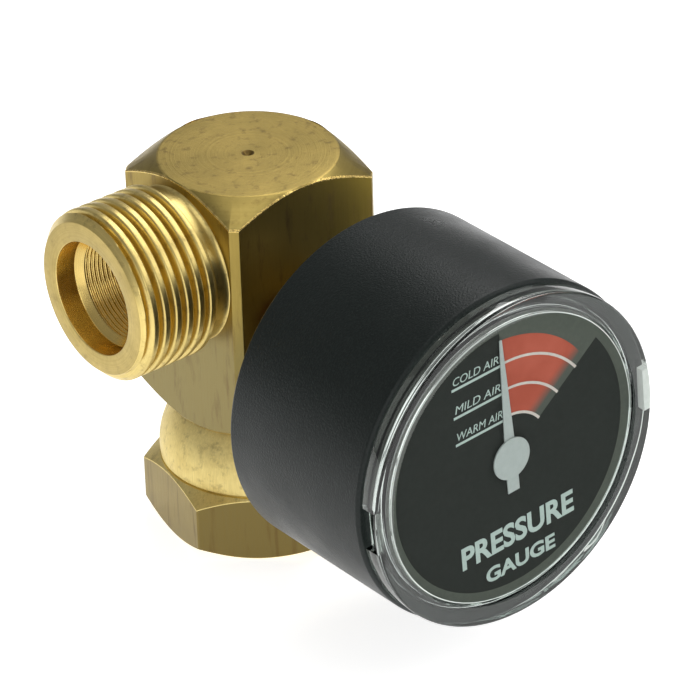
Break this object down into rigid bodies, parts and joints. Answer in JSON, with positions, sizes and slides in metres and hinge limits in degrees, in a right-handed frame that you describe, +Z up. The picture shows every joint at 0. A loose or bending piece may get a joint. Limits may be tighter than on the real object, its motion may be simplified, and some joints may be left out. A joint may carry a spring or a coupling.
{
  "type": "gas gauge adaptor",
  "caption": "Inline gas cylinder adaptor: square brass block with a hexagon swivel inlet nut, a threaded outlet stub and a round dial pressure gauge on its front.",
  "frame": {"origin": "centre of the inlet washer's sealing face, on the inlet axis, where the adaptor seats on a cylinder valve", "axes": "+Z up the inlet axis through the block, outlet along -X, gauge face towards -Y"},
  "size_m": [0.0486, 0.0673, 0.0537],
  "materials": {
    "brass_block": "drawn bar with turned ends, slightly tarnished",
    "brass_nut": "drawn hexagon with a turned dome",
    "brass_stem": "machined",
    "movement_brass": "stamped and turned, bright",
    "rubber": "moulded",
    "fibre": "pressed red fibre sheet",
    "black_plastic": "moulded with a fine grain",
    "clear_plastic": "clear and polished",
    "dial_face": "satin black paint with printed scale",
    "pointer_paint": "matt off-white paint",
    "bronze": "drawn phosphor bronze",
    "steel": "zinc plated"
  },
  "bodies": {
    "adaptor": {"body_block": "brass_block", "inlet_washer": "rubber", "gauge_stem": "brass_stem", "stem_seal": "fibre", "restrictor_screw": "movement_brass", "gauge_case": "black_plastic", "case_screw_top": "steel", "case_screw_bottom": "steel", "lens": "clear_plastic", "dial_plate": "dial_face", "bourdon_tube": "bronze", "tube_tip": "movement_brass", "back_plate": "movement_brass", "front_plate": "movement_brass", "pillar_left": "movement_brass", "pillar_right": "movement_brass", "plate_screw_left": "steel", "plate_screw_right": "steel", "movement_screw_top": "steel", "movement_screw_bottom": "steel", "stop_pin": "steel", "hairspring": "bronze", "hairspring_stud": "movement_brass"},
    "swivel": {"inlet_nut": "brass_nut"},
    "pointer_shaft": {"pointer": "pointer_paint", "pinion_shaft": "movement_brass"},
    "sector": {"sector_gear": "movement_brass"},
    "link_arm": {"link": "steel"}
  },
  "joints": [
    {"name": "nut_swivel", "type": "hinge", "parent": "adaptor", "child": "swivel", "pos_m": [0, 0, 0], "axis": [0, 0, 1], "continuous": true},
    {"name": "pointer_turn", "type": "hinge", "parent": "adaptor", "child": "pointer_shaft", "pos_m": [0, -0.048, 0.0276], "axis": [0, 1, 0], "range_deg": [0, 90], "stiffness_Nm_per_rad": 0.00003, "springref_deg": -11.46, "deforming": ["hairspring"]},
    {"name": "sector_turn", "type": "hinge", "parent": "adaptor", "child": "sector", "pos_m": [0.00675, -0.0374, 0.01956], "axis": [0, 1, 0], "range_deg": [-15, 0]},
    {"name": "link_turn", "type": "hinge", "parent": "sector", "child": "link_arm", "pos_m": [0.009, -0.0383, 0.01566], "axis": [0, 1, 0], "range_deg": [0, 15]}
  ],
  "couplings": [
    {"joint": "sector_turn", "follows": "pointer_turn", "ratio": -0.16667},
    {"joint": "link_turn", "follows": "pointer_turn", "ratio": 0.16667}
  ]
}
